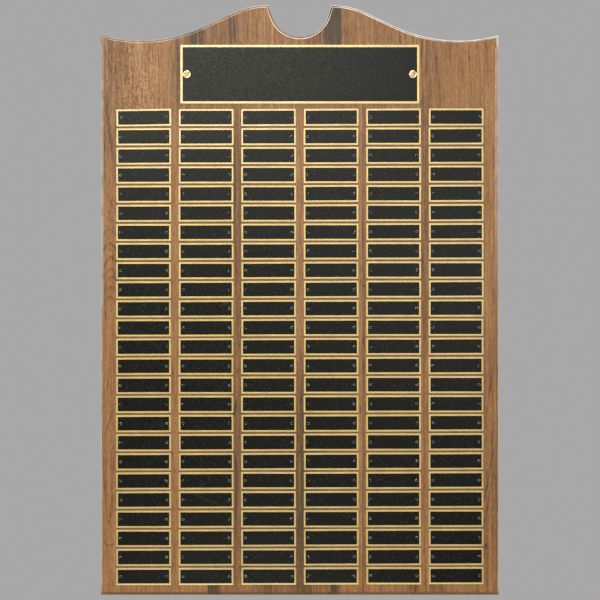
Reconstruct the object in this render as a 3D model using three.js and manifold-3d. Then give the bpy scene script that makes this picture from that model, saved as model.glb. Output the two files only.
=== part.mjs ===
// A roster plaque that hangs on a wall: an edge-glued walnut board with a crowned top and a round
// notch, a header plate held by two screws in cup washers, a grid of blank name plates, and two
// keyhole hangers let into the back. Millimetres, +Z up. The back lies in the plane y = 0 and
// faces +Y, the front faces -Y, and the origin is at the middle of the back.

import * as THREE from "three";
import { mergeVertices } from "three/addons/utils/BufferGeometryUtils.js";
import Module from "manifold-3d";

// Name plates: the top rows are pieces of their own, the rows below are one with their stave
const columnCount = 6;
const rowCount = 25;
const separateRowCount = 7;
const plateWidth = 84.2;
const plateHeight = 26.4;
const plateThickness = 0.6;
const plateBorder = 2.95;
const columnGap = 11.65;
const rowGap = 2.92;
const pinInset = 6.7;
const pinHoleDiameter = 1.3;

// Header plate over the middle columns, and the black coat that it and the name plates have inside
// a bare brass border
const headerColumnCount = 4;
const headerSideInset = 2.375;
const headerHeight = 90.4;
const headerThickness = 0.8;
const headerBorder = 3.7;
const headerGap = 7.67;
const headerScrewInset = 10.2;
const coatThickness = 0.1;

// Board: the crown is level for a short run beside the notch and falls to a trough near each side,
// and the notch is an arc whose ends run on straight to the corners of its mouth
const boardThickness = 19;
const sideMargin = 23.3;
const bottomMargin = 15.75;
const headerToTrough = 6.6;
const edgeChamfer = 4.7;
const crestRise = 54;
const crestRun = 6;
const troughInset = 61;
const notchRadius = 45;
const notchCentreDrop = 3.2;
const notchFlareAngle = THREE.MathUtils.degToRad(18.1);
const troughRadiusShare = 0.635;
const crestRadiusShare = 0.285;
const columnsPerStave = [1, 1, 2, 1, 1];

// Header screws and the cup washers under their heads
const headerShankDiameter = 3.5;
const headerScrewLength = 16;
const headerHeadDiameter = 7.5;
const headerDomeHeight = 1;
const washerDiameter = 12.9;
const washerHeight = 2.3;
const washerSheet = 0.6;
const washerCrestInset = 1.7;

// Keyhole hangers, the pockets behind them and their screws
const hangerLength = 62;
const hangerWidth = 22;
const hangerThickness = 1.5;
const hangerDrop = 62;
const keyholeEntryDiameter = 12.6;
const keyholeSlotWidth = 6.6;
const keyholeSlotRise = 15;
const keyholeEntryDrop = 7;
const pocketWidth = 17.6;
const pocketLength = 34;
const pocketDepth = 9;
const hangerScrewInset = 6.5;
const hangerShankDiameter = 3.2;
const hangerScrewLength = 13;
const hangerHeadDiameter = 6;

// Shared by all screws: half the angle of the head's cone, and the cross recess as shares of the head
const coneHalfAngle = THREE.MathUtils.degToRad(41);
const recessSpanShare = 0.56;
const recessWidthShare = 0.13;
const recessDepthShare = 0.15;

// Fits: the free space round a piece in its hole, and how far a cut or a join runs over
const fitClearance = 0.3;
const overrun = 1;

// Smoothness of the round forms
const arcSegments = 8;
const hangerArcSegments = 4;
const holeSides = 12;
const pinHoleSides = 8;
const turnedSides = 20;
const domeSteps = 3;

// Layout worked out from the sizes above
const columnPitch = plateWidth + columnGap;
const rowPitch = plateHeight + rowGap;
const boardWidth = 2 * sideMargin + columnCount * columnPitch - columnGap;
const headerWidth = headerColumnCount * columnPitch - columnGap - 2 * headerSideInset;
const rowsHeight = rowCount * rowPitch - rowGap;
const troughHeight = bottomMargin + rowsHeight + headerGap + headerHeight + headerToTrough;
const boardHeight = troughHeight + crestRise;
const boardBottom = -boardHeight / 2;
const boardCrest = boardHeight / 2;
const boardTrough = boardBottom + troughHeight;
const topRowZ = boardBottom + bottomMargin + rowsHeight - plateHeight / 2;
const headerZ = boardTrough - headerToTrough - headerHeight / 2;
const headerScrewX = headerWidth / 2 - headerScrewInset;
const headerFace = -boardThickness - headerThickness - coatThickness;
const hangerZ = boardTrough - hangerDrop;
const hangerScrewReach = hangerLength / 2 - hangerScrewInset;

const wasm = await Module();
wasm.setup();

const walnutTones = [0x9a7350, 0x8d6543, 0x94683f, 0xa1744a, 0x8f6640];

function walnut(tone) {
  return new THREE.MeshStandardMaterial({ color: tone, roughness: 0.45, metalness: 0 });
}

function coatedBrass() {
  return new THREE.MeshStandardMaterial({ color: 0x3b3a34, roughness: 0.5, metalness: 0.3 });
}

function bareBrass() {
  return new THREE.MeshStandardMaterial({ color: 0xdcb868, roughness: 0.3, metalness: 1 });
}

function zincSteel() {
  return new THREE.MeshStandardMaterial({ color: 0xa9abad, roughness: 0.4, metalness: 1 });
}

// A closed geometry as a solid that can be cut and joined
function solidOf(geometry) {
  const bare = geometry.clone();
  bare.deleteAttribute("normal");
  bare.deleteAttribute("uv");
  const merged = mergeVertices(bare);
  const corners = merged.index.array;
  const triangles = [];
  for (let first = 0; first < corners.length; first += 3) {
    const [a, b, c] = corners.slice(first, first + 3);
    if (a !== b && b !== c && c !== a) {
      triangles.push(a, b, c);
    }
  }
  return new wasm.Manifold(new wasm.Mesh({
    numProp: 3,
    vertProperties: merged.attributes.position.array,
    triVerts: new Uint32Array(triangles),
  }));
}

function geometryOf(solid) {
  const { vertProperties, triVerts } = solid.getMesh();
  const geometry = new THREE.BufferGeometry();
  geometry.setAttribute("position", new THREE.BufferAttribute(vertProperties, 3));
  geometry.setIndex(new THREE.BufferAttribute(triVerts, 1));
  geometry.computeVertexNormals();
  return geometry;
}

// A shape drawn in x and z, made solid from y = front to y = back
function extruded(shape, front, back, segments = arcSegments) {
  const options = { depth: back - front, bevelEnabled: false, curveSegments: segments };
  const geometry = new THREE.ExtrudeGeometry(shape, options);
  geometry.rotateX(Math.PI / 2);
  geometry.translate(0, back, 0);
  return geometry;
}

function rectangle(left, bottom, right, top) {
  const shape = new THREE.Shape();
  shape.moveTo(left, bottom);
  shape.lineTo(right, bottom);
  shape.lineTo(right, top);
  shape.lineTo(left, top);
  shape.closePath();
  return shape;
}

function centredRectangle(width, height) {
  return rectangle(-width / 2, -height / 2, width / 2, height / 2);
}

// An upright slot shape with round ends
function roundEnded(width, length, shape = new THREE.Shape()) {
  const radius = width / 2;
  const endZ = length / 2 - radius;
  shape.absarc(0, endZ, radius, 0, Math.PI, false);
  shape.absarc(0, -endZ, radius, Math.PI, 2 * Math.PI, false);
  shape.closePath();
  return shape;
}

// A round hole along Y from y = front to y = back, as the solid that is cut away
function holeCutter(x, z, radius, front, back, sides = holeSides) {
  const geometry = new THREE.CylinderGeometry(radius, radius, back - front, sides);
  geometry.translate(x, (front + back) / 2, z);
  return solidOf(geometry);
}

// A profile of radius and height turned about the Y axis
function turned(profile, sides = turnedSides) {
  const points = profile.map(([radius, height]) => new THREE.Vector2(radius, height));
  return new THREE.LatheGeometry(points, sides);
}

// Half the width of the notch's mouth, where its straight ends reach the level of the crests
function notchCornerX() {
  const arcEndX = notchRadius * Math.cos(notchFlareAngle);
  const arcEndDrop = notchCentreDrop + notchRadius * Math.sin(notchFlareAngle);
  return arcEndX + arcEndDrop * Math.tan(notchFlareAngle);
}

// The straight run of the crown touches the crest's arc above it and the trough's arc below it
function crownLine() {
  const crestX = notchCornerX() + crestRun;
  const troughX = boardWidth / 2 - troughInset;
  const reach = troughX - crestX;
  const largestSum = (reach * reach + crestRise * crestRise) / (2 * crestRise);
  const crestRadius = crestRadiusShare * largestSum;
  const troughRadius = troughRadiusShare * largestSum;
  const bothRadii = crestRadius + troughRadius;
  const centreRise = bothRadii - crestRise;
  const centreDistance = Math.hypot(reach, centreRise);
  const slope = Math.asin(bothRadii / centreDistance) - Math.atan2(centreRise, reach);
  const sideTurn = Math.asin(troughInset / troughRadius);
  return { crestX, troughX, crestRadius, troughRadius, slope, sideTurn };
}

function boardOutline() {
  const { crestX, troughX, crestRadius, troughRadius, slope, sideTurn } = crownLine();
  const quarter = Math.PI / 2;
  const cornerX = notchCornerX();
  const arcStart = -notchFlareAngle;
  const crestZ = boardCrest - crestRadius;
  const troughZ = boardTrough + troughRadius;
  const shape = new THREE.Shape();
  shape.moveTo(-boardWidth / 2, boardBottom);
  shape.lineTo(boardWidth / 2, boardBottom);
  shape.absarc(troughX, troughZ, troughRadius, -quarter + sideTurn, -quarter - slope, true);
  shape.absarc(crestX, crestZ, crestRadius, quarter - slope, quarter, false);
  shape.lineTo(cornerX, boardCrest);
  shape.absarc(0, boardCrest - notchCentreDrop, notchRadius, arcStart, -Math.PI - arcStart, true);
  shape.lineTo(-cornerX, boardCrest);
  shape.absarc(-crestX, crestZ, crestRadius, quarter, quarter + slope, false);
  shape.absarc(-troughX, troughZ, troughRadius, -quarter + slope, -quarter - sideTurn, true);
  shape.closePath();
  return shape;
}

// The whole board with its front edges chamfered; its back bevel lies behind y = 0 and is cut off
function chamferedBoard() {
  const geometry = new THREE.ExtrudeGeometry(boardOutline(), {
    depth: boardThickness - edgeChamfer,
    bevelEnabled: true,
    bevelThickness: edgeChamfer,
    bevelSize: edgeChamfer,
    bevelOffset: -edgeChamfer,
    bevelSegments: 1,
    curveSegments: arcSegments,
  });
  geometry.rotateX(Math.PI / 2);
  return solidOf(geometry);
}

function hangerX(side) {
  return side * 1.5 * columnPitch;
}

function hangerScrewZ(end) {
  return hangerZ + end * hangerScrewReach;
}

// The recess for one hanger, the pocket behind its keyhole and the holes for its screws
function hangerCutters(side) {
  const x = hangerX(side);
  const recess = roundEnded(hangerWidth + 2 * fitClearance, hangerLength + 2 * fitClearance);
  const pocket = roundEnded(pocketWidth, pocketLength);
  const cutters = [
    extruded(recess, -hangerThickness, overrun, hangerArcSegments),
    extruded(pocket, -hangerThickness - pocketDepth, overrun, hangerArcSegments),
  ].map((geometry) => solidOf(geometry.translate(x, 0, hangerZ)));
  for (const end of [-1, 1]) {
    const radius = hangerShankDiameter / 2 + fitClearance;
    const depth = hangerScrewLength + fitClearance;
    cutters.push(holeCutter(x, hangerScrewZ(end), radius, -depth, overrun));
  }
  return cutters;
}

function headerScrewCutter(side) {
  const radius = headerShankDiameter / 2 + fitClearance;
  const depth = headerFace + headerScrewLength + fitClearance;
  return holeCutter(side * headerScrewX, headerZ, radius, headerFace, depth);
}

function boardSolid() {
  let board = chamferedBoard();
  for (const side of [-1, 1]) {
    for (const cutter of [...hangerCutters(side), headerScrewCutter(side)]) {
      board = board.subtract(cutter);
    }
  }
  return board;
}

function columnX(column) {
  return (column - (columnCount - 1) / 2) * columnPitch;
}

function rowZ(row) {
  return topRowZ - row * rowPitch;
}

// A sheet with its back at y = 0 and the black coat standing proud of its front inside the border;
// bed is how far the sheet runs on behind y = 0, into what it is one with
function sheetWithCoat(width, height, thickness, border, bed = 0) {
  const field = centredRectangle(width - 2 * border, height - 2 * border);
  const sheet = solidOf(extruded(centredRectangle(width, height), -thickness, bed));
  return sheet.add(solidOf(extruded(field, -thickness - coatThickness, -thickness / 2)));
}

function withHoles(sheet, places, diameter, thickness, sides) {
  const front = -thickness - coatThickness - overrun;
  let drilled = sheet;
  for (const x of places) {
    drilled = drilled.subtract(holeCutter(x, 0, diameter / 2, front, overrun, sides));
  }
  return geometryOf(drilled);
}

function separatePlate() {
  const sheet = sheetWithCoat(plateWidth, plateHeight, plateThickness, plateBorder);
  const pinX = plateWidth / 2 - pinInset;
  return withHoles(sheet, [-pinX, pinX], pinHoleDiameter, plateThickness, pinHoleSides);
}

function headerPlate() {
  const sheet = sheetWithCoat(headerWidth, headerHeight, headerThickness, headerBorder);
  const hole = headerShankDiameter + 2 * fitClearance;
  return withHoles(sheet, [-headerScrewX, headerScrewX], hole, headerThickness, holeSides);
}

// One stave of the board between two glue joints, with the lower rows of name plates on its face
function stave(board, firstColumn, columns) {
  const joint = (column) => columnX(column) - columnPitch / 2;
  const lastColumn = firstColumn + columns;
  const left = firstColumn === 0 ? -boardWidth / 2 - overrun : joint(firstColumn);
  const right = lastColumn === columnCount ? boardWidth / 2 + overrun : joint(lastColumn);
  const slice = rectangle(left, boardBottom - overrun, right, boardCrest + overrun);
  let solid = board.intersect(solidOf(extruded(slice, -boardThickness - overrun, 0)));
  const bed = boardThickness / 4;
  const plate = geometryOf(sheetWithCoat(plateWidth, plateHeight, plateThickness, plateBorder, bed));
  for (let column = firstColumn; column < lastColumn; column += 1) {
    for (let row = separateRowCount; row < rowCount; row += 1) {
      const placed = plate.clone().translate(columnX(column), -boardThickness, rowZ(row));
      solid = solid.add(solidOf(placed));
    }
  }
  return geometryOf(solid);
}

// A pressed washer that stands on its rim and its throat, open underneath, with a cone for the head
function cupWasher() {
  const rim = washerDiameter / 2;
  const crest = rim - washerCrestInset;
  const throat = headerShankDiameter / 2 + 2 * fitClearance;
  const cone = (height) => throat + height * Math.tan(coneHalfAngle);
  const profile = [];
  for (let step = 0; step <= domeSteps; step += 1) {
    const turn = (step / domeSteps) * (Math.PI / 2);
    profile.push([crest + washerCrestInset * Math.cos(turn), washerHeight * Math.sin(turn)]);
  }
  profile.push([cone(washerHeight - washerSheet / 2), washerHeight - washerSheet / 2]);
  profile.push([throat, 0]);
  profile.push([throat + washerSheet, 0]);
  profile.push([crest - washerSheet, washerHeight - 2 * washerSheet]);
  profile.push([crest, washerHeight - washerSheet]);
  profile.push([rim - washerSheet, 0]);
  profile.push([rim, 0]);
  return turned(profile);
}

// A countersunk wood screw about the Y axis, its point down, with the widest part of its head at y = 0
function screw(headDiameter, domeHeight, shankDiameter, length) {
  const head = headDiameter / 2;
  const shank = shankDiameter / 2;
  const coneDepth = (head - shank) / Math.tan(coneHalfAngle);
  const profile = [
    [0, -length],
    [shank, -length + shankDiameter],
    [shank, -coneDepth],
    [head, 0],
  ];
  for (let step = 1; step < domeSteps && domeHeight > 0; step += 1) {
    const turn = (step / domeSteps) * (Math.PI / 2);
    profile.push([head * Math.cos(turn), domeHeight * Math.sin(turn)]);
  }
  profile.push([0, domeHeight]);
  const span = headDiameter * recessSpanShare;
  const width = headDiameter * recessWidthShare;
  const depth = headDiameter * recessDepthShare;
  let solid = solidOf(turned(profile));
  for (const [across, along] of [[span, width], [width, span]]) {
    const arm = extruded(centredRectangle(across, along), domeHeight - depth, domeHeight + overrun);
    solid = solid.subtract(solidOf(arm));
  }
  return geometryOf(solid);
}

function headerScrew() {
  return screw(headerHeadDiameter, headerDomeHeight, headerShankDiameter, headerScrewLength);
}

function hangerScrew() {
  return screw(hangerHeadDiameter, 0, hangerShankDiameter, hangerScrewLength);
}

// The keyhole in a hanger, drawn round the middle of the plate
function keyhole() {
  const entry = keyholeEntryDiameter / 2;
  const slot = keyholeSlotWidth / 2;
  const neck = Math.asin(slot / entry);
  const quarter = Math.PI / 2;
  const path = new THREE.Path();
  path.absarc(0, -keyholeEntryDrop, entry, quarter + neck, 5 * quarter - neck, false);
  path.absarc(0, keyholeSlotRise - keyholeEntryDrop, slot, 0, Math.PI, false);
  path.closePath();
  return path;
}

// A steel plate, flush with the back, with a keyhole and a countersunk hole near each end
function keyholeHanger() {
  const shape = roundEnded(hangerWidth, hangerLength);
  shape.holes.push(keyhole());
  let solid = solidOf(extruded(shape, -hangerThickness, 0, hangerArcSegments));
  const mouth = hangerHeadDiameter / 2 + fitClearance;
  const taper = Math.tan(coneHalfAngle);
  const below = hangerThickness + overrun / 2;
  const sink = turned([
    [0, -below],
    [mouth - below * taper, -below],
    [mouth + overrun * taper, overrun],
    [0, overrun],
  ], holeSides);
  for (const end of [-1, 1]) {
    solid = solid.subtract(solidOf(sink.clone().translate(0, 0, end * hangerScrewReach)));
  }
  return geometryOf(solid);
}

function sideName(side) {
  return side < 0 ? "left" : "right";
}

function piece(name, geometry, material, x = 0, y = 0, z = 0) {
  const mesh = new THREE.Mesh(geometry, material);
  mesh.name = name;
  mesh.position.set(x, y, z);
  return mesh;
}

function staves() {
  const group = new THREE.Group();
  const board = boardSolid();
  let firstColumn = 0;
  columnsPerStave.forEach((columns, index) => {
    const geometry = stave(board, firstColumn, columns);
    group.add(piece(`stave_${index + 1}`, geometry, walnut(walnutTones[index])));
    firstColumn += columns;
  });
  return group;
}

function namePlates() {
  const group = new THREE.Group();
  const geometry = separatePlate();
  for (let row = 0; row < separateRowCount; row += 1) {
    for (let column = 0; column < columnCount; column += 1) {
      const name = `name_plate_r${row + 1}_c${column + 1}`;
      group.add(piece(name, geometry, coatedBrass(), columnX(column), -boardThickness, rowZ(row)));
    }
  }
  return group;
}

function header() {
  const group = new THREE.Group();
  group.add(piece("header_plate", headerPlate(), coatedBrass(), 0, -boardThickness, headerZ));
  for (const side of [-1, 1]) {
    const fixing = new THREE.Group();
    fixing.position.set(side * headerScrewX, headerFace, headerZ);
    fixing.rotation.x = Math.PI;
    const seat = (headerHeadDiameter - headerShankDiameter) / 2 / Math.tan(coneHalfAngle);
    fixing.add(piece(`cup_washer_${sideName(side)}`, cupWasher(), bareBrass()));
    fixing.add(piece(`header_screw_${sideName(side)}`, headerScrew(), bareBrass(), 0, seat));
    group.add(fixing);
  }
  return group;
}

function hangers() {
  const group = new THREE.Group();
  for (const side of [-1, 1]) {
    const name = sideName(side);
    const x = hangerX(side);
    group.add(piece(`keyhole_hanger_${name}`, keyholeHanger(), zincSteel(), x, 0, hangerZ));
    for (const end of [-1, 1]) {
      const place = end < 0 ? "lower" : "upper";
      const screwName = `hanger_screw_${name}_${place}`;
      group.add(piece(screwName, hangerScrew(), zincSteel(), x, 0, hangerScrewZ(end)));
    }
  }
  return group;
}

const plaque = new THREE.Group();
plaque.add(staves(), header(), namePlates(), hangers());

export default plaque;
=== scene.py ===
import math
import random

import bmesh
import bpy
from mathutils import Matrix, Vector


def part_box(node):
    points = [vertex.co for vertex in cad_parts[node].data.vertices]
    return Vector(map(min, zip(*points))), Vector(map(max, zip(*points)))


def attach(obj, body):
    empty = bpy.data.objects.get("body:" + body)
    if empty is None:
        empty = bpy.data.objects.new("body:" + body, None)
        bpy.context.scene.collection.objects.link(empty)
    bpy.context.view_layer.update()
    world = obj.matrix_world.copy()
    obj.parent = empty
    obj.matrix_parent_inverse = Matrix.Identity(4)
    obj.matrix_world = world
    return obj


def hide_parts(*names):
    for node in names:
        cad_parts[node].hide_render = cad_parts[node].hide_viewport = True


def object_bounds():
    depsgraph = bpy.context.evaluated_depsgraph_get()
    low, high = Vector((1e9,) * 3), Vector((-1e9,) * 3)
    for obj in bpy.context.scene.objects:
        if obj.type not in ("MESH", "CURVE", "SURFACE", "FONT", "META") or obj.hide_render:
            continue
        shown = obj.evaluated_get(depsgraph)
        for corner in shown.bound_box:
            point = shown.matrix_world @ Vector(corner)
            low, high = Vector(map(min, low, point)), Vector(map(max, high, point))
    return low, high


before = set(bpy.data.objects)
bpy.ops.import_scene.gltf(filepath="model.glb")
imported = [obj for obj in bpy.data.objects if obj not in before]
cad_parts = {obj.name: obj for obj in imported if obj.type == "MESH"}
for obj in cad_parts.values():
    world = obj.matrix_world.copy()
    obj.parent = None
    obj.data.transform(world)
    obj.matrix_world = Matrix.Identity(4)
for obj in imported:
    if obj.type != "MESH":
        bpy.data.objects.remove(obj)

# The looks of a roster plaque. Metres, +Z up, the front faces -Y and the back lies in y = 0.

cad_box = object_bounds()
MM = 0.001

# Grid of name plates
COLUMNS = 6
ROWS = 25
SEPARATE_ROWS = 7
PLATE_WIDTH = 84.2 * MM
PLATE_HEIGHT = 26.4 * MM
PLATE_THICKNESS = 0.6 * MM
PLATE_BORDER = 2.8 * MM
COLUMN_PITCH = 95.85 * MM
ROW_PITCH = 29.32 * MM
PIN_INSET = 6.7 * MM
PIN_HOLE_RADIUS = 0.65 * MM
PLATE_CORNER = 0.5 * MM
PLATE_SOFTNESS = 0.55 * MM

# How unevenly the plates were nailed on: turns in degrees, shifts in metres
ROW_SLOPE = 0.0026
LARGEST_TURN = 0.2
FIRST_PLATE_TURN = -0.8
LARGEST_SHIFT_X = 0.3 * MM
LARGEST_SHIFT_Z = 0.2 * MM

# Header plate, its washers and its screws, with the turns of their crosses in degrees
HEADER_WIDTH = 367 * MM
HEADER_HEIGHT = 90.4 * MM
HEADER_THICKNESS = 0.8 * MM
HEADER_BORDER = 3.7 * MM
HEADER_HOLE_RADIUS = 2.05 * MM
HEADER_HOLE_FLOOR = 3.6 * MM
COAT_THICKNESS = 0.1 * MM
COAT_EDGE = 0.06 * MM
WASHER_RADIUS = 6.45 * MM
WASHER_CREST_RADIUS = 4.75 * MM
WASHER_THROAT_RADIUS = 2.35 * MM
WASHER_HEIGHT = 2.3 * MM
WASHER_SHEET = 0.6 * MM
HEADER_SCREW = {"head_radius": 3.75 * MM, "dome_height": 1 * MM, "shank_radius": 1.75 * MM,
                "length": 16 * MM}
HEADER_SCREW_TURNS = {"left": 24, "right": -38}

# Board: the same crown as the CAD model's
BOARD_THICKNESS = 19 * MM
EDGE_CHAMFER = 4.7 * MM
CROWN_BEVEL_SHARE = 0.72
ARRIS_RADIUS = 1.1 * MM
ARRIS_RUN = 10 * MM
TROUGH_HEIGHT = 850.5 * MM
CREST_RISE = 54 * MM
CREST_RUN = 6 * MM
TROUGH_INSET = 61 * MM
NOTCH_RADIUS = 45 * MM
NOTCH_CENTRE_DROP = 3.2 * MM
NOTCH_FLARE_ANGLE = math.radians(18.1)
TROUGH_RADIUS_SHARE = 0.635
CREST_RADIUS_SHARE = 0.285
JOINTS = [-2 * COLUMN_PITCH, -COLUMN_PITCH, COLUMN_PITCH, 2 * COLUMN_PITCH]
HANGER_STAVES = {2: "left", 4: "right"}

# Keyhole hangers, their pockets and screws
HANGER_LENGTH = 62 * MM
HANGER_WIDTH = 22 * MM
HANGER_THICKNESS = 1.5 * MM
POCKET_WIDTH = 17.6 * MM
POCKET_LENGTH = 34 * MM
POCKET_DEPTH = 9 * MM
ENTRY_RADIUS = 6.3 * MM
SLOT_RADIUS = 3.3 * MM
SLOT_RISE = 15 * MM
ENTRY_DROP = 7 * MM
HANGER_SOFTNESS = 0.25 * MM
HANGER_SCREW_PITCH = 49 * MM
HANGER_SCREW_HOLE_RADIUS = 1.9 * MM
HANGER_SCREW_HOLE_DEPTH = 13.3 * MM
HANGER_SCREW = {"head_radius": 3 * MM, "dome_height": 0.0, "shank_radius": 1.6 * MM,
                "length": 13 * MM}
HANGER_SCREW_TURNS = {"lower": 15, "upper": 62}
SINK_RADIUS = 3.3 * MM
SINK_SLOPE = 0.87
FIT = 0.3 * MM
OVERRUN = 1 * MM

# All screws: the half angle of the head's cone, and the cross recess as shares of the head's radius
HEAD_HALF_ANGLE = math.radians(41)
CROSS_SPAN_SHARE = 1.05
CROSS_WIDTH_SHARE = 0.3
CROSS_DEPTH_SHARE = 0.55

# Smoothness of the round forms; angles in degrees
ARC_STEPS = 20
NOTCH_STEPS = 30
CREST_STEPS = 10
TURNED_SIDES = 48
HOLE_SIDES = 24
PIN_SIDES = 16
FILLET_STEPS = 3
SHARP_ANGLE = 32
PIN_SHARP_ANGLE = 50
FLAT_FACING = 0.9999

low, high = cad_box
BOARD_WIDTH = high.x - low.x
CREST_Z = high.z
BOTTOM_Z = low.z
TROUGH_Z = BOTTOM_Z + TROUGH_HEIGHT
TOP_ROW_Z = sum(corner.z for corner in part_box("name_plate_r1_c1")) / 2
HEADER_Z = sum(corner.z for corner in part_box("header_plate")) / 2
LOWEST_EDGE_Z = TOP_ROW_Z - (ROWS - 1) * ROW_PITCH - PLATE_HEIGHT / 2


# Outlines, as lists of (x, z) points, anticlockwise seen from the front

def arc(centre, radius, start, end, steps):
    turns = [start + (end - start) * step / steps for step in range(steps + 1)]
    return [Vector((centre[0] + radius * math.cos(t), centre[1] + radius * math.sin(t)))
            for t in turns]


def crown():
    """The crown from the right side to the left one, with the notch in its middle."""
    arc_end_x = NOTCH_RADIUS * math.cos(NOTCH_FLARE_ANGLE)
    arc_end_drop = NOTCH_CENTRE_DROP + NOTCH_RADIUS * math.sin(NOTCH_FLARE_ANGLE)
    corner_x = arc_end_x + arc_end_drop * math.tan(NOTCH_FLARE_ANGLE)
    crest_x = corner_x + CREST_RUN
    trough_x = BOARD_WIDTH / 2 - TROUGH_INSET
    reach = trough_x - crest_x
    largest_sum = (reach ** 2 + CREST_RISE ** 2) / (2 * CREST_RISE)
    trough_radius = TROUGH_RADIUS_SHARE * largest_sum
    crest_radius = CREST_RADIUS_SHARE * largest_sum
    both = trough_radius + crest_radius
    rise = both - CREST_RISE
    slope = math.asin(both / math.hypot(reach, rise)) - math.atan2(rise, reach)
    side_turn = math.asin(TROUGH_INSET / trough_radius)
    quarter = math.pi / 2
    half = arc((trough_x, TROUGH_Z + trough_radius), trough_radius,
               side_turn - quarter, -slope - quarter, ARC_STEPS)
    half += arc((crest_x, CREST_Z - crest_radius), crest_radius,
                quarter - slope, quarter, CREST_STEPS)
    half.append(Vector((corner_x, CREST_Z)))
    notch = arc((0, CREST_Z - NOTCH_CENTRE_DROP), NOTCH_RADIUS,
                -NOTCH_FLARE_ANGLE, NOTCH_FLARE_ANGLE - math.pi, NOTCH_STEPS)
    return half + notch + [Vector((-x, z)) for x, z in reversed(half)]


def circle(radius, sides=HOLE_SIDES):
    return arc((0, 0), radius, 0, 2 * math.pi, sides)[:-1]


def board_outline():
    side = BOARD_WIDTH / 2
    return [Vector((-side, BOTTOM_Z)), Vector((side, BOTTOM_Z))] + crown()


def round_ended(width, length):
    radius = width / 2
    end = length / 2 - radius
    return (arc((0, end), radius, 0, math.pi, ARC_STEPS)
            + arc((0, -end), radius, math.pi, 2 * math.pi, ARC_STEPS))


def rounded_rectangle(width, height, radius):
    points = []
    for turn, (side, up) in enumerate([(1, 1), (-1, 1), (-1, -1), (1, -1)]):
        centre = (side * (width / 2 - radius), up * (height / 2 - radius))
        start = turn * math.pi / 2
        points += arc(centre, radius, start, start + math.pi / 2, FILLET_STEPS)
    return points


def keyhole_outline():
    neck = math.asin(SLOT_RADIUS / ENTRY_RADIUS)
    quarter = math.pi / 2
    return (arc((0, -ENTRY_DROP), ENTRY_RADIUS, quarter + neck, 5 * quarter - neck, 2 * ARC_STEPS)
            + arc((0, SLOT_RISE - ENTRY_DROP), SLOT_RADIUS, 0, math.pi, ARC_STEPS))


def inset(points, distance, shares=None):
    """The outline moved inwards, its corners mitred; shares has each side's share of the distance."""
    shares = shares or [1.0] * len(points)
    moved = []
    for index, point in enumerate(points):
        before = (point - points[index - 1]).normalized()
        after = (points[(index + 1) % len(points)] - point).normalized()
        inward = Vector((-before.y, before.x))
        next_inward = Vector((-after.y, after.x))
        bend = before.cross(after)
        if shares[index - 1] == shares[index] or abs(bend) < 0.01:
            bisector = (inward + next_inward).normalized()
            step = bisector * (shares[index] * distance / bisector.dot(inward))
        else:
            step = (after * shares[index - 1] - before * shares[index]) * (distance / bend)
        moved.append(point + step)
    return moved


def filleted(path, radius):
    """The arcs that replace the inner corners of a path of (inset, y) points."""
    rounded = []
    for before, corner, after in zip(path, path[1:], path[2:]):
        back = (Vector(before) - Vector(corner)).normalized()
        on = (Vector(after) - Vector(corner)).normalized()
        half_angle = back.angle(on) / 2
        reach = radius / math.tan(half_angle)
        centre = Vector(corner) + (back + on).normalized() * (radius / math.sin(half_angle))
        start = (Vector(corner) + back * reach - centre).normalized()
        end = (Vector(corner) + on * reach - centre).normalized()
        rounded.append([centre + start.slerp(end, step / FILLET_STEPS) * radius
                        for step in range(FILLET_STEPS + 1)])
    return rounded


# Meshes

def ring(bm, outline, y):
    return [bm.verts.new((x, y, z)) for x, z in outline]


def highlight_wear_layer(bm):
    return bm.faces.layers.float.get("edge_highlight_wear") or bm.faces.layers.float.new("edge_highlight_wear")


def loft(bm, rings, materials=None, highlight_wear=None):
    """Joins each ring to the next one; materials and the values for the painted edge highlight hold
    one value for each band.
    """
    layer = highlight_wear_layer(bm)
    for band, (first, second) in enumerate(zip(rings, rings[1:])):
        for index in range(len(first)):
            ahead = (index + 1) % len(first)
            face = bm.faces.new((first[index], first[ahead], second[ahead], second[index]))
            face.smooth = True
            face.material_index = materials[band] if materials else 0
            face[layer] = highlight_wear[band] if highlight_wear else 0


def cap(bm, outline_ring, material=0):
    face = bm.faces.new(outline_ring)
    face.material_index = material


def mesh_from(bm, name):
    bmesh.ops.recalc_face_normals(bm, faces=bm.faces)
    mesh = bpy.data.meshes.new(name)
    bm.to_mesh(mesh)
    bm.free()
    return mesh


def object_from(mesh, name, materials=()):
    thing = bpy.data.objects.new(name, mesh)
    bpy.context.scene.collection.objects.link(thing)
    for material in materials:
        mesh.materials.append(material)
    return thing


def prism(outline, front, back):
    bm = bmesh.new()
    rings = [ring(bm, outline, back), ring(bm, outline, front)]
    loft(bm, rings)
    for end in rings:
        cap(bm, end)
    return mesh_from(bm, "prism")


def turned(profile, sides=TURNED_SIDES, closed=False, materials=None, name="turned"):
    """A profile of (radius, y) points turned about the Y axis; a radius of 0 is a point on it."""
    bm = bmesh.new()
    rings = []
    for radius, y in profile:
        if radius > 0:
            rings.append(ring(bm, circle(radius, sides), y))
        else:
            rings.append(bm.verts.new((0, y, 0)))
    layer = highlight_wear_layer(bm)
    following = rings[1:] + ([rings[0]] if closed else [])
    for band, (first, second) in enumerate(zip(rings, following)):
        material = materials[band] if materials else 0
        if isinstance(first, list) and isinstance(second, list):
            loft(bm, [first, second], materials=[material])
        else:
            tip, rim = (first, second) if isinstance(second, list) else (second, first)
            for index in range(sides):
                face = bm.faces.new((rim[index], rim[(index + 1) % sides], tip))
                face.smooth = True
                face.material_index = material
                face[layer] = 0
    return mesh_from(bm, name)


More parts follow.
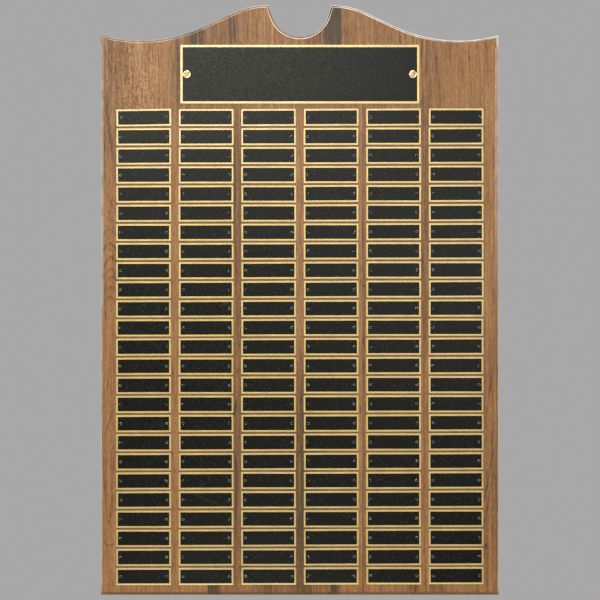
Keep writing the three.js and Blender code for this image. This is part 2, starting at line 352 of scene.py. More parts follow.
def cut(mesh, cutters):
    """The mesh less its cutters, each a mesh with the matrix that places it."""
    body = bpy.data.objects.new("cut_body", mesh)
    bpy.context.scene.collection.objects.link(body)
    tools = []
    for cutter, spot in cutters:
        tool = bpy.data.objects.new("cut_tool", cutter)
        bpy.context.scene.collection.objects.link(tool)
        tool.matrix_world = spot
        modifier = body.modifiers.new("cut", "BOOLEAN")
        modifier.object = tool
        modifier.operation = "DIFFERENCE"
        modifier.solver = "EXACT"
        tools.append(tool)
    depsgraph = bpy.context.evaluated_depsgraph_get()
    result = bpy.data.meshes.new_from_object(body.evaluated_get(depsgraph))
    for thing in [body, *tools]:
        old = thing.data
        bpy.data.objects.remove(thing)
        if old.users == 0:
            bpy.data.meshes.remove(old)
    return result


def shade(mesh, angle=SHARP_ANGLE):
    """Smooth over gentle bends and sharp at corners; faces square to Y stay flat."""
    mesh.set_sharp_from_angle(angle=math.radians(angle))
    for face in mesh.polygons:
        face.use_smooth = abs(face.normal.y) < FLAT_FACING


def place(x=0.0, y=0.0, z=0.0):
    return Matrix.Translation((x, y, z))


def finish_piece(mesh, name, materials, replaced=()):
    """Puts the mesh in the scene as a piece that rides on the body and stands for CAD nodes."""
    mesh.name = name
    slots = [face.material_index for face in mesh.polygons]
    mesh.materials.clear()
    piece = object_from(mesh, name, materials)
    mesh.polygons.foreach_set("material_index", slots)
    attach(piece, "root")
    if replaced:
        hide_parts(*replaced)
    return piece


# Materials

def rgb(red, green, blue):
    """A colour given as it shows, 0 to 255, as the linear one that a shader takes."""
    def linear(value):
        share = value / 255
        return share / 12.92 if share <= 0.04045 else ((share + 0.055) / 1.055) ** 2.4
    return (linear(red), linear(green), linear(blue), 1.0)


class Nodes:
    """A node tree, with short calls for the nodes that it is built from."""

    def __init__(self, tree):
        self.tree = tree
        tree.nodes.clear()

    def add(self, kind, inputs=(), **settings):
        node = self.tree.nodes.new(kind)
        for key, value in settings.items():
            setattr(node, key, value)
        for key, value in dict(inputs).items():
            if isinstance(value, bpy.types.NodeSocket):
                self.tree.links.new(value, node.inputs[key])
            else:
                node.inputs[key].default_value = value
        return node

    def math(self, operation, first, second=0.0, third=0.0):
        inputs = {0: first, 1: second, 2: third}
        return self.add("ShaderNodeMath", inputs, operation=operation).outputs[0]


class Shader(Nodes):
    """One material: its nodes, with calls for patterns in the object's coordinates."""

    def __init__(self, name):
        self.material = bpy.data.materials.new(name)
        self.material.use_nodes = True
        super().__init__(self.material.node_tree)
        self.output = self.tree.nodes.new("ShaderNodeOutputMaterial")
        self.coordinates = self.add("ShaderNodeTexCoord").outputs["Object"]
        split = self.add("ShaderNodeSeparateXYZ", {"Vector": self.coordinates})
        self.x, self.y, self.z = split.outputs

    def noise(self, across, along, shift=(0, 0, 0), at=None, detail=2.0, roughness=0.5,
              distortion=0.0):
        """Noise between 0 and 1, with its cycles per metre across and along the grain."""
        mapping = self.add("ShaderNodeMapping", {
            "Vector": self.coordinates if at is None else at,
            "Scale": (across, across, along), "Location": shift})
        texture = self.add("ShaderNodeTexNoise", {
            "Vector": mapping.outputs[0], "Scale": 1.0, "Detail": detail,
            "Roughness": roughness, "Distortion": distortion})
        return texture.outputs["Fac"]

    def product(self, *values):
        result = values[0]
        for value in values[1:]:
            result = self.math("MULTIPLY", result, value)
        return result

    def remap(self, value, low_in, high_in, low_out=0.0, high_out=1.0):
        """A smooth step from one value to another."""
        inputs = {"Value": value, "From Min": low_in, "From Max": high_in,
                  "To Min": low_out, "To Max": high_out}
        return self.add("ShaderNodeMapRange", inputs, interpolation_type="SMOOTHSTEP").outputs[0]

    def mix(self, factor, first, second):
        """A mix of two colours; the numbers are the places of its colour sockets."""
        inputs = {0: factor, 6: first, 7: second}
        return self.add("ShaderNodeMix", inputs, data_type="RGBA").outputs[2]

    def ramp(self, value, stops):
        node = self.add("ShaderNodeValToRGB", {"Fac": value})
        elements = node.color_ramp.elements
        while len(elements) < len(stops):
            elements.new(0.5)
        for element, (position, colour) in zip(elements, stops):
            element.position = position
            element.color = colour
        return node.outputs["Color"]

    def bump(self, height, distance):
        inputs = {"Height": height, "Distance": distance, "Strength": 1.0}
        return self.add("ShaderNodeBump", inputs).outputs[0]

    def surface(self, **inputs):
        names = {key.replace("_", " "): value for key, value in inputs.items()}
        principled = self.add("ShaderNodeBsdfPrincipled", names)
        self.tree.links.new(principled.outputs[0], self.output.inputs["Surface"])
        return self.material


# How softly a streak's ends fade: the share of its half length, and a length added to its reach
FADE_SHARE = 0.7
FADE_LENGTH = 15 * MM


def streak_mask(shader, across, streak):
    """1 on a streak's line and 0 beyond its reaches. The line runs from top to foot; all in mm."""
    top_x, top_z, foot_x, foot_z, left, right = (value * MM for value in streak)
    lean = (top_x - foot_x) / (top_z - foot_z)
    line_x = foot_x - lean * foot_z
    straight = shader.math("MULTIPLY_ADD", shader.z, -lean, across)
    rise = shader.remap(straight, line_x - left, line_x, 0.0, 1.0)
    fall = shader.remap(straight, line_x, line_x + right, 1.0, 0.0)
    half = (top_z - foot_z) / 2
    along = shader.math("ABSOLUTE", shader.math("SUBTRACT", shader.z, foot_z + half))
    fade = min(FADE_SHARE * half, FADE_LENGTH + left)
    stop = shader.remap(along, half - fade, half + fade, 1.0, 0.0)
    return shader.product(rise, fall, stop)


# Where the feet of an arch fade out, as squares of shares of its half width
ARCH_FADE = (0.9, 1.8)


def arch_mask(wood, across, arch):
    """1 on one arch of the figure: its crown, half width, the drop of its feet and its thickness."""
    crown_x, crown_z, half_width, drop, thickness = (value * MM for value in arch)
    share = wood.math("MULTIPLY_ADD", across, 1 / half_width, -crown_x / half_width)
    bowl = wood.product(share, share)
    level = wood.math("MULTIPLY_ADD", wood.z, 1 / drop, -crown_z / drop)
    steepness = wood.math("MULTIPLY_ADD", bowl, 4 / half_width ** 2, 1 / drop ** 2)
    distance = wood.product(wood.math("ABSOLUTE", wood.math("ADD", bowl, level)),
                            wood.math("INVERSE_SQRT", steepness))
    line = wood.remap(distance, 0.0, thickness, 1.0, 0.0)
    return wood.product(line, wood.remap(bowl, *ARCH_FADE, 1.0, 0.0))


LIGHT_WOOD = rgb(187, 140, 89)
MID_WOOD = rgb(161, 115, 68)
DEEP_WOOD = rgb(131, 89, 51)
DARK_WOOD = rgb(97, 69, 37)
STREAK_WOOD = rgb(76, 58, 30)
# The pale colour of the painted highlight, partly worn stain, along the board's bevel
HIGHLIGHT_EDGE_PALE = rgb(244, 242, 230)
# The colour of the painted highlight, partly bare brass, on the plates' edges
RIM_HIGHLIGHT_BRASS = rgb(236, 228, 208)
# The colour of the painted highlight along the lowest edge
LOW_HIGHLIGHT_BRASS = rgb(250, 228, 150)
SPANGLE_STEP = 22

# Bands across the bevel, as values of the face attribute that places the painted highlight, and where
# they meet as shares of the bevel's width
OUTER_ARRIS = 1.0
OUTER_BEVEL = 0.8
MIDDLE_BEVEL = 0.6
INNER_BEVEL = 0.4
INNER_ARRIS = 0.2
OUTER_BAND_ENDS = (0.2, 0.3)
INNER_BAND_ENDS = (0.8, 0.9)

# Where the bevel gets its painted highlight, partly worn stain. A zone sets in between two places
# along a coordinate, in mm
HIGHLIGHT_AND_WEAR_ZONES = {
    "above_foot": ("z", -449, -445), "crown": ("z", 385, 395), "upper": ("z", 270, 310),
    "right_part": ("z", -20, 200), "left_part": ("z", -50, 20), "side": ("size", 290, 300),
    "left": ("x", -50, -120), "leftmost": ("x", -290, -300), "not_rightmost": ("x", 300, 290),
    "right": ("x", 50, 60), "right_end": ("x", 170, 230), "rightmost": ("x", 290, 300),
    "notch": ("size", 50, 46), "left_of_notch": ("x", 30, 10),
}
# How much paler each band is painted, as highlight and partly wear, in the part that some zones have
# in common
HIGHLIGHT_AND_WEAR = {
    OUTER_ARRIS: [("above_foot", 0.9), ("side", -0.4), ("crown left", -0.45),
                  ("crown notch left_of_notch", -0.8)],
    OUTER_BEVEL: [("crown right", 1.1), ("leftmost left_part", 0.3), ("leftmost", 0.1),
                  ("rightmost right_part", 0.15)],
    MIDDLE_BEVEL: [("crown right_end", 0.3), ("leftmost left_part", 0.2), ("leftmost", 0.08),
                   ("rightmost right_part", 0.15)],
    INNER_BEVEL: [("crown right", 1.0), ("crown right_end", -1.0), ("crown notch", 1.1),
                  ("leftmost left_part", 0.3), ("rightmost right_part", 0.2)],
    INNER_ARRIS: [("upper not_rightmost", 1.0), ("leftmost", -1.0), ("crown left", -0.4),
                  ("crown right_end", -0.9), ("rightmost right_part", 0.35)],
}


def painted_edge_highlight_and_wear(wood, seed):
    """Painted highlight along the bands of the bevel, partly worn stain: most on the right of the
    crown.
    """
    band_at = wood.add("ShaderNodeAttribute", attribute_name="edge_highlight_wear").outputs["Fac"]
    coordinates = {"x": wood.x, "z": wood.z, "size": wood.math("ABSOLUTE", wood.x)}
    zones = {}
    for name, (axis, outside, inside) in HIGHLIGHT_AND_WEAR_ZONES.items():
        limits = (outside * MM, inside * MM, 0.0, 1.0)
        if outside > inside:
            limits = (inside * MM, outside * MM, 1.0, 0.0)
        zones[name] = wood.remap(coordinates[axis], *limits)
    total = 0.0
    for band, parts in HIGHLIGHT_AND_WEAR.items():
        strength = 0.0
        for names, weight in parts:
            common = wood.product(*[zones[name] for name in names.split()])
            strength = wood.math("MULTIPLY_ADD", common, weight, strength)
        here = wood.math("COMPARE", band_at, band, 0.1)
        total = wood.math("MULTIPLY_ADD", here, strength, total)
    patches = wood.noise(60, 60, (seed, 5, 5), detail=3.0)
    return wood.product(total, wood.remap(patches, 0.35, 0.6, 0.6, 1.0))


# The painted shade on the wood between the rows: where it fades out, from the middle of a gap between
# two rows and from the middle of a column
ROW_GAP_FADE = (0.8 * MM, 1.9 * MM)
COLUMN_FADE = (41 * MM, 42.4 * MM)
SIDE_FADE = 0.01 * COLUMN_PITCH
ROW_SHADE = 0.6


def painted_row_shade(wood):
    """1 on the wood that shows between one row of plates and the next, where painted shade darkens
    it.
    """
    row = wood.math("MULTIPLY_ADD", wood.x, -ROW_SLOPE, wood.math("SUBTRACT", wood.z, TOP_ROW_Z))
    margin = 0.1 * ROW_PITCH
    last_row = (1 - ROWS) * ROW_PITCH
    side = COLUMNS / 2 * COLUMN_PITCH
    front = 1 * MM - BOARD_THICKNESS
    masks = [wood.remap(row, -margin, 0.0, 1.0, 0.0),
             wood.remap(row, last_row, last_row + margin),
             wood.remap(wood.y, front, front + 1 * MM, 1.0, 0.0),
             wood.remap(wood.math("ABSOLUTE", wood.x), side - SIDE_FADE, side, 1.0, 0.0)]
    for along, pitch, fade in ((row, ROW_PITCH, ROW_GAP_FADE),
                               (wood.x, COLUMN_PITCH, COLUMN_FADE)):
        turn = wood.math("FRACT", wood.math("DIVIDE", along, pitch))
        off_middle = wood.math("ABSOLUTE", wood.math("SUBTRACT", turn, 0.5))
        masks.append(wood.remap(wood.product(off_middle, pitch), *fade, 1.0, 0.0))
    return wood.product(*masks)


# The wood: how far apart the seeds of the staves are, how far its lines sway, and how strongly each
# pattern tells in its tone, where 1 is the step from the palest wood to the deepest
SEED_STEP = 3.7
SWAY = 20 * MM
WOBBLE = 6 * MM
BROAD_WEIGHT = 0.36
LINE_WEIGHT = 0.45
FINE_WEIGHT = 0.6
FLECK_WEIGHT = 0.55
SPECKLE_WEIGHT = 0.3
WORM_WEIGHT = 1.8
DASH_WEIGHT = 0.25
PORE_WEIGHT = 0.5
END_GRAIN_AND_SHADE_WEIGHT = 0.5
PORE_DEPTH = 0.04 * MM


def walnut(index, tone, figure, streaks, arches, curl):
    """Lacquered walnut of one stave: tone is its average, 0 pale to 1 deep, figure its contrast."""
    wood = Shader(f"walnut_stave_{index}")
    seed = SEED_STEP * index
    drift = wood.noise(9, 1.3, (seed, 0, seed), detail=1.0)
    warp = wood.math("MULTIPLY_ADD", drift, SWAY, wood.x)
    grain_at = wood.add("ShaderNodeCombineXYZ", {"X": warp, "Y": wood.y, "Z": wood.z}).outputs[0]
    wobble = wood.noise(40, 14, (seed, 6, 1))
    across = wood.math("MULTIPLY_ADD", wobble, WOBBLE, wood.math("SUBTRACT", wood.x, WOBBLE / 2))

    def grain(across_scale, along_scale, shift, **settings):
        return wood.noise(across_scale, along_scale, (shift, seed, shift), grain_at, **settings)

    broad = grain(24, 1.0, 1.0, detail=1.0)
    lines = grain(180, 3.0, 2.0, detail=3.0, roughness=0.6)
    fine = grain(430, 16, 3.0)
    flecks = wood.noise(500, 170, (seed, 1, 2), roughness=0.6)
    speckle = wood.noise(620, 430, (seed, 3, 2), detail=1.0)
    value = tone
    for pattern, weight in ((broad, BROAD_WEIGHT * figure), (lines, LINE_WEIGHT * figure),
                            (fine, FINE_WEIGHT), (flecks, FLECK_WEIGHT),
                            (speckle, SPECKLE_WEIGHT)):
        centred = wood.math("SUBTRACT", pattern, 0.5)
        value = wood.math("MULTIPLY_ADD", centred, weight, value)
    if curl:
        worms = wood.noise(360, 250, (seed, 4, 2), distortion=1.2)
        rippled = wood.product(wood.math("SUBTRACT", worms, 0.5),
                               streak_mask(wood, across, curl))
        value = wood.math("MULTIPLY_ADD", rippled, WORM_WEIGHT, value)
    ragged = wood.remap(lines, 0.3, 0.6, 0.6, 1.0)
    marks = [(streak_mask(wood, across, mark), weight) for *mark, weight in streaks]
    marks += [(arch_mask(wood, across, mark), weight) for *mark, weight in arches]
    for mask, weight in marks:
        value = wood.math("MULTIPLY_ADD", wood.product(mask, ragged), weight, value)
    dashes = wood.remap(grain(600, 50, 5.0, detail=1.0), 0.58, 0.74)
    value = wood.math("MULTIPLY_ADD", dashes, DASH_WEIGHT, value)
    colour = wood.ramp(value, [
        (0.12, LIGHT_WOOD), (0.38, MID_WOOD), (0.64, DEEP_WOOD), (0.86, DARK_WOOD),
        (1.0, STREAK_WOOD)])
    pores = wood.noise(2100, 95, (seed, 2, 7), detail=1.0)
    pore_mask = wood.remap(pores, 0.60, 0.74, 0.0, PORE_WEIGHT)
    colour = wood.mix(pore_mask, colour, DARK_WOOD)
    # The bottom bevel and the bottom face are darker: painted shade where they face down, and partly
    # end grain
    bevel_z = BOTTOM_Z + EDGE_CHAMFER
    end_grain_and_shade = wood.remap(wood.z, bevel_z - 0.5 * MM, bevel_z, END_GRAIN_AND_SHADE_WEIGHT, 0.0)
    colour = wood.mix(end_grain_and_shade, colour, DARK_WOOD)
    # Painted shade on the wood between the rows of plates
    colour = wood.mix(wood.product(painted_row_shade(wood), ROW_SHADE), colour, DARK_WOOD)
    # Painted highlight along the bevel, partly worn stain
    colour = wood.mix(painted_edge_highlight_and_wear(wood, seed), colour, HIGHLIGHT_EDGE_PALE)
    gloss = wood.remap(fine, 0.3, 0.7, 0.34, 0.46)
    height = wood.math("MULTIPLY_ADD", pore_mask, -1.0, wood.product(fine, 0.25))
    return wood.surface(
        Base_Color=colour, Roughness=gloss, Specular_IOR_Level=0.25,
        Normal=wood.bump(height, PORE_DEPTH))


# Hair scratches in the black coat, in mm: top x and z, foot x and z, reach to the left and right
HAIR_SCRATCHES = [(-138.5, -267, -140.1, -278, 0.4, 0.4), (-147.1, -279, -153.3, -287, 0.6, 0.6),
                  (-162.5, -297.6, -147.1, -303.7, 1.1, 1.1),
                  (-147.1, -303.7, -121, -314.4, 1.1, 1.1), (-231.5, 19.5, -239, 14, 0.9, 0.9),
                  (-236, -4.5, -243.5, -9.5, 0.9, 0.9), (-110.3, -4.4, -122.6, -9, 1.8, 1.8)]


def black_coat():
    """Satin black paint on brass, with fine grit, bright specks and faint clouds."""
    coat = Shader("black_coat")
    cloud = coat.noise(30, 30)
    grains = coat.add("ShaderNodeTexVoronoi", {"Vector": coat.coordinates, "Scale": 640.0})
    grit = coat.add("ShaderNodeSeparateColor", {"Color": grains.outputs["Color"]}).outputs["Red"]
    dust = coat.add("ShaderNodeTexVoronoi", {
        "Vector": coat.coordinates, "Scale": 360.0}).outputs["Distance"]
    specks = coat.remap(dust, 0.08, 0.22, 1.0, 0.0)
    scarce = coat.remap(coat.noise(300, 300, (8, 1, 4), detail=1.0), 0.43, 0.62)
    speck_mask = coat.product(specks, scarce, 0.45)
    base = coat.ramp(grit, [(0.2, rgb(2, 2, 1)), (1.0, rgb(14, 12, 8))])
    colour = coat.mix(speck_mask, base, rgb(150, 152, 140))
    for hair in HAIR_SCRATCHES:
        colour = coat.mix(streak_mask(coat, coat.x, hair), colour, rgb(72, 72, 66))
    clouded = coat.math("MULTIPLY_ADD", cloud, 0.04, 0.22)
    roughness = coat.math("MULTIPLY_ADD", grit, 0.14, clouded)
    return coat.surface(
        Base_Color=colour, Roughness=roughness, Specular_IOR_Level=0.15,
        Specular_Tint=(1.0, 1.0, 0.87, 1.0), Normal=coat.bump(cloud, 0.02 * MM))


def brass(name, deep, pale, roughness, coat_weight):
    """Lacquered brass with tarnish, a painted highlight, partly bare pale brass, on its edges, and a
    painted highlight along the lowest edge.
    """
    metal = Shader(name)
    brushed = metal.noise(60, 900, (1, 2, 3))
    tarnish = metal.noise(45, 45, (7, 1, 2), detail=3.0)
    colour = metal.mix(metal.remap(tarnish, 0.35, 0.65), deep, pale)
    # The edge bands are painted paler: a painted highlight, partly bare brass
    rim = metal.add("ShaderNodeAttribute", attribute_name="edge_highlight_wear").outputs["Fac"]
    colour = metal.mix(rim, colour, RIM_HIGHLIGHT_BRASS)
    # Painted highlight along the bottom border of the lowest row of plates
    level = metal.math("MULTIPLY_ADD", metal.x, -ROW_SLOPE, metal.z)
    painted_low_highlight = metal.remap(level, LOWEST_EDGE_Z + 0.6 * MM, LOWEST_EDGE_Z + 2.4 * MM, 0.75, 0.0)
    colour = metal.mix(painted_low_highlight, colour, LOW_HIGHLIGHT_BRASS)
    gloss = metal.math("MULTIPLY_ADD", brushed, 0.12, roughness - 0.06)
    return metal.surface(
        Base_Color=colour, Metallic=1.0, Roughness=gloss, Coat_Weight=coat_weight,
        Coat_Roughness=0.27, Coat_IOR=1.8, Normal=metal.bump(brushed, 0.01 * MM))


def worn_rim():
    """The rolled rims of the pins: nickel that shows in patches through the black."""
    metal = Shader("pin_rim")
    patches = metal.remap(metal.noise(620, 620, (4, 1, 3), detail=1.0), 0.42, 0.58)
    colour = metal.mix(patches, rgb(60, 60, 57), rgb(250, 250, 244))
    return metal.surface(Base_Color=colour, Metallic=0.6, Roughness=0.3)


def steel(name, deep, roughness):
    """Spangled steel, zinc plated or blackened; its pale spots are a fixed step paler than deep."""
    metal = Shader(name)
    spangle = metal.noise(260, 260, (2, 5, 1), detail=3.0)
    pale = [value + SPANGLE_STEP for value in deep]
    colour = metal.ramp(spangle, [(0.3, rgb(*deep)), (0.7, rgb(*pale))])
    gloss = metal.math("MULTIPLY_ADD", spangle, 0.16, roughness - 0.08)
    return metal.surface(
        Base_Color=colour, Metallic=1.0, Roughness=gloss, Normal=metal.bump(spangle, 0.02 * MM))


# Pieces

def board_mesh():
    """The whole board: chamfered in front, all its arrises rounded."""
    path = [(ARRIS_RUN, 0), (0, 0), (0, EDGE_CHAMFER - BOARD_THICKNESS),
            (EDGE_CHAMFER, -BOARD_THICKNESS), (ARRIS_RUN, -BOARD_THICKNESS)]
    back, outer, inner = filleted(path, ARRIS_RADIUS)
    bevel_start, bevel_end = outer[-1], inner[0]
    outer += [bevel_start.lerp(bevel_end, share) for share in OUTER_BAND_ENDS]
    inner = [bevel_start.lerp(bevel_end, share) for share in INNER_BAND_ENDS] + inner
    profile = [*back, *outer, *inner]
    # Band values that place the painted highlight, partly worn stain, on the bevel
    highlight_wear = ([0.0] * len(back) + [OUTER_ARRIS] * (len(outer) - 2)
            + [OUTER_BEVEL, MIDDLE_BEVEL, INNER_BEVEL] + [INNER_ARRIS] * (len(inner) - 2))
    outline = board_outline()
    shares = [1.0, 1.0] + [CROWN_BEVEL_SHARE] * (len(outline) - 3) + [1.0]
    bm = bmesh.new()
    rings = [ring(bm, inset(outline, distance, shares), y) for distance, y in profile]
    loft(bm, rings, highlight_wear=highlight_wear)
    cap(bm, rings[0])
    cap(bm, rings[-1])
    return mesh_from(bm, "board")


def slice_of(mesh, left, right, name):
    """The part of the mesh between two planes across X; None stands for no plane."""
    bm = bmesh.new()
    bm.from_mesh(mesh)
    for x, normal in ((left, (-1, 0, 0)), (right, (1, 0, 0))):
        if x is not None:
            geometry = bm.verts[:] + bm.edges[:] + bm.faces[:]
            bmesh.ops.bisect_plane(
                bm, geom=geometry, plane_co=(x, 0, 0), plane_no=normal, clear_outer=True)
            rim = [edge for edge in bm.edges if edge.is_boundary]
            bmesh.ops.holes_fill(bm, edges=rim)
    return mesh_from(bm, name)


def middle_of(node):
    """The x and z of the middle of a CAD node's box."""
    lowest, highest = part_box(node)
    return (lowest.x + highest.x) / 2, (lowest.z + highest.z) / 2


def stave_cutters(side_name):
    x, z = middle_of(f"keyhole_hanger_{side_name}")
    recess = prism(round_ended(HANGER_WIDTH + 2 * FIT, HANGER_LENGTH + 2 * FIT),
                   -HANGER_THICKNESS, OVERRUN)
    pocket = prism(round_ended(POCKET_WIDTH, POCKET_LENGTH),
                   -HANGER_THICKNESS - POCKET_DEPTH, OVERRUN)
    cutters = [(recess, place(x, 0, z)), (pocket, place(x, 0, z))]
    for end in (-1, 1):
        hole = prism(circle(HANGER_SCREW_HOLE_RADIUS), -HANGER_SCREW_HOLE_DEPTH, OVERRUN)
        cutters.append((hole, place(x, 0, z + end * HANGER_SCREW_PITCH / 2)))
    hole = prism(circle(HEADER_HOLE_RADIUS), -BOARD_THICKNESS - OVERRUN, -HEADER_HOLE_FLOOR)
    header_x, _ = middle_of(f"header_screw_{side_name}")
    cutters.append((hole, place(header_x, 0, HEADER_Z)))
    return cutters


def make_board(woods):
    whole = board_mesh()
    limits = zip([None, *JOINTS], [*JOINTS, None])
    for index, ((left, right), wood) in enumerate(zip(limits, woods), start=1):
        name = f"board_stave_{index}"
        mesh = slice_of(whole, left, right, name)
        if index in HANGER_STAVES:
            mesh = cut(mesh, stave_cutters(HANGER_STAVES[index]))
        shade(mesh)
        finish_piece(mesh, name, [wood], [f"stave_{index}"])


def plate_mesh(width, height, thickness, border, holes, hole_radius):
    """A sheet with softened edges, and the coat standing proud of it inside the border."""
    corner, soft, step = PLATE_CORNER, PLATE_SOFTNESS, COAT_EDGE
    front = -thickness - COAT_THICKNESS

    def outline(margin, radius):
        return rounded_rectangle(width - 2 * margin, height - 2 * margin, radius)

    # The margin, the corner's radius and the y of each ring, from the back to the front
    levels = [
        (0.0, corner, 0.0), (0.0, corner, -thickness + soft),
        (soft * 0.35, corner * 0.8, -thickness + soft * 0.35), (soft, corner * 0.6, -thickness),
        (border - step, corner * 0.5, -thickness), (border, corner * 0.4, front + step * 0.4),
        (border + step, corner * 0.4, front),
    ]
    bm = bmesh.new()
    rings = [ring(bm, outline(margin, radius), y) for margin, radius, y in levels]
    # The outer edge bands get the painted highlight, partly bare brass
    loft(bm, rings, materials=[0, 0, 0, 0, 1, 1], highlight_wear=[0, 1, 0.6, 0, 0, 0])
    cap(bm, rings[0])
    cap(bm, rings[-1], material=1)
    mesh = mesh_from(bm, "plate")
    mesh.materials.append(None)
    mesh.materials.append(None)
    cutters = [(prism(circle(hole_radius), -2 * thickness, OVERRUN), place(x, 0, 0))
               for x in holes]
    drilled = cut(mesh, cutters)
    shade(drilled)
    return drilled


def dome(radius, height, base, steps):
    """The profile of a dome, from its rim to its top."""
    turns = [math.pi / 2 * step / steps for step in range(steps + 1)]
    return [(radius * math.cos(t) if t < math.pi / 2 else 0.0, base - height * math.sin(t))
            for t in turns]


# A pin in mm, as radius and y: its point and shank, then the rolled rim round its head
PIN_SHANK = [(0, 8.0), (0.5, 7.0), (0.58, 0.0), (1.8, 0.0)]
PIN_RIM = [(1.9, -0.14), (1.82, -0.33), (1.6, -0.4), (1.45, -0.27)]
PIN_HEAD_RADIUS = 1.43 * MM
PIN_HEAD_HEIGHT = 0.55 * MM


def pin_mesh():
    """A small pin: a rolled rim that keeps its bright edge, a groove and a domed black head."""
    profile = [(radius * MM, y * MM) for radius, y in PIN_SHANK + PIN_RIM]
    groove = profile[-1][1]
    head = dome(PIN_HEAD_RADIUS, PIN_HEAD_HEIGHT, groove, steps=5)
    materials = [0] * (len(PIN_SHANK) - 1) + [1] * len(PIN_RIM) + [0] * len(head)
    return turned(profile + head, sides=PIN_SIDES, materials=materials, name="pin")


def make_plates(border, coat, pin_black, pin_rim):
    """All name plates, each a piece of its own, and the pins of each column as one piece."""
    rng = random.Random(25)
    pin_x = PLATE_WIDTH / 2 - PIN_INSET
    plate = plate_mesh(PLATE_WIDTH, PLATE_HEIGHT, PLATE_THICKNESS, PLATE_BORDER,
                       (-pin_x, pin_x), PIN_HOLE_RADIUS)
    pin = pin_mesh()
    for column in range(COLUMNS):
        pins = bmesh.new()
        for row in range(ROWS):
            name = f"plate_r{row + 1}_c{column + 1}"
            tilt = math.radians(rng.uniform(-LARGEST_TURN, LARGEST_TURN)) - ROW_SLOPE
            if (row, column) == (0, 0):
                tilt = math.radians(FIRST_PLATE_TURN)
            x = (column - (COLUMNS - 1) / 2) * COLUMN_PITCH
            x += rng.uniform(-LARGEST_SHIFT_X, LARGEST_SHIFT_X)
            z = TOP_ROW_Z - row * ROW_PITCH + x * ROW_SLOPE
            z += rng.uniform(-LARGEST_SHIFT_Z, LARGEST_SHIFT_Z)
            spot = place(x, -BOARD_THICKNESS, z) @ Matrix.Rotation(tilt, 4, "Y")
            mesh = plate.copy()
            mesh.transform(spot)
            replaced = [f"name_{name}"] if row < SEPARATE_ROWS else []
            finish_piece(mesh, name, [border, coat], replaced)
            for side in (-1, 1):
                offset = place(side * pin_x, -PLATE_THICKNESS - COAT_THICKNESS, 0)
                placed = pin.copy()
                placed.transform(spot @ offset)
                pins.from_mesh(placed)
                bpy.data.meshes.remove(placed)
        mesh = mesh_from(pins, f"pins_c{column + 1}")
        shade(mesh, PIN_SHARP_ANGLE)
        finish_piece(mesh, f"pins_c{column + 1}", [pin_black, pin_rim])


def make_header(border, coat):
    hole_x, _ = middle_of("header_screw_right")
    mesh = plate_mesh(HEADER_WIDTH, HEADER_HEIGHT, HEADER_THICKNESS, HEADER_BORDER,
                      (-hole_x, hole_x), HEADER_HOLE_RADIUS)
    mesh.transform(place(0, -BOARD_THICKNESS, HEADER_Z))
    finish_piece(mesh, "header_sheet", [border, coat], ["header_plate"])


def washer_mesh():
    """A pressed cup washer: a rounded rim, a cone inside for the head, open underneath."""
    rim, crest, throat = WASHER_RADIUS, WASHER_CREST_RADIUS, WASHER_THROAT_RADIUS
    height, sheet = WASHER_HEIGHT, WASHER_SHEET
    outer = [(crest + (rim - crest) * math.cos(t), -height * math.sin(t))
             for t in (math.pi / 2 * step / 8 for step in range(9))]
    cone = [(crest - 0.45 * MM, -height + 0.06 * MM), (crest - 0.8 * MM, -height + 0.3 * MM),
            (throat, 0.0), (throat + sheet, 0.0)]
    under = [(crest - sheet, -height + 2 * sheet), (crest, -height + sheet), (rim - sheet, 0.0)]
    mesh = turned(outer + cone + under, closed=True, name="washer")
    shade(mesh)
    return mesh


def cross_cutter(span, width, depth):
    """A cross that narrows towards its bottom."""
    def cross(reach, half):
        corner = [(reach, -half), (reach, half), (half, half)]
        return [(x * math.cos(t) - z * math.sin(t), x * math.sin(t) + z * math.cos(t))
                for t in (0, math.pi / 2, math.pi, 3 * math.pi / 2) for x, z in corner]
    bm = bmesh.new()
    rings = [ring(bm, cross(span / 2 * 1.25, width / 2 * 1.2), -depth * 0.8),
             ring(bm, cross(span / 2, width / 2), 0.0),
             ring(bm, cross(width / 2 * 1.02, width / 2 * 0.5), depth)]
    loft(bm, rings)
    cap(bm, rings[0])
    cap(bm, rings[-1])
    return mesh_from(bm, "cross")


def screw_mesh(head_radius, dome_height, shank_radius, length):
    """A countersunk wood screw; the widest part of its head is at y = 0."""
    cone_depth = (head_radius - shank_radius) / math.tan(HEAD_HALF_ANGLE)
    profile = [(0, length), (shank_radius, length - 2 * shank_radius), (shank_radius, cone_depth),
               (head_radius, 0.12 * MM)]
    if dome_height:
        profile += dome(head_radius, dome_height, 0.0, steps=7)
    else:
        profile += [(head_radius, 0.03 * MM), (head_radius - 0.15 * MM, 0.0), (0, 0)]
    mesh = turned(profile, name="screw")
    cutter = cross_cutter(head_radius * CROSS_SPAN_SHARE, head_radius * CROSS_WIDTH_SHARE,
                          head_radius * CROSS_DEPTH_SHARE)
    mesh = cut(mesh, [(cutter, place(0, -dome_height, 0))])
    shade(mesh)
    return mesh


def make_fixings(washer_metal, screw_metal):
    for name, turn in HEADER_SCREW_TURNS.items():
        x, z = middle_of(f"cup_washer_{name}")
        washer = washer_mesh()
        washer.transform(place(x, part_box(f"cup_washer_{name}")[1].y, z))
        finish_piece(washer, f"finish_washer_{name}", [washer_metal],
                     [f"cup_washer_{name}"])
        screw = screw_mesh(**HEADER_SCREW)
        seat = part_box(f"header_screw_{name}")[0].y + HEADER_SCREW["dome_height"]
        twist = Matrix.Rotation(math.radians(turn), 4, "Y")
        screw.transform(place(x, seat, z) @ twist)
        finish_piece(screw, f"oval_screw_{name}", [screw_metal],
                     [f"header_screw_{name}"])


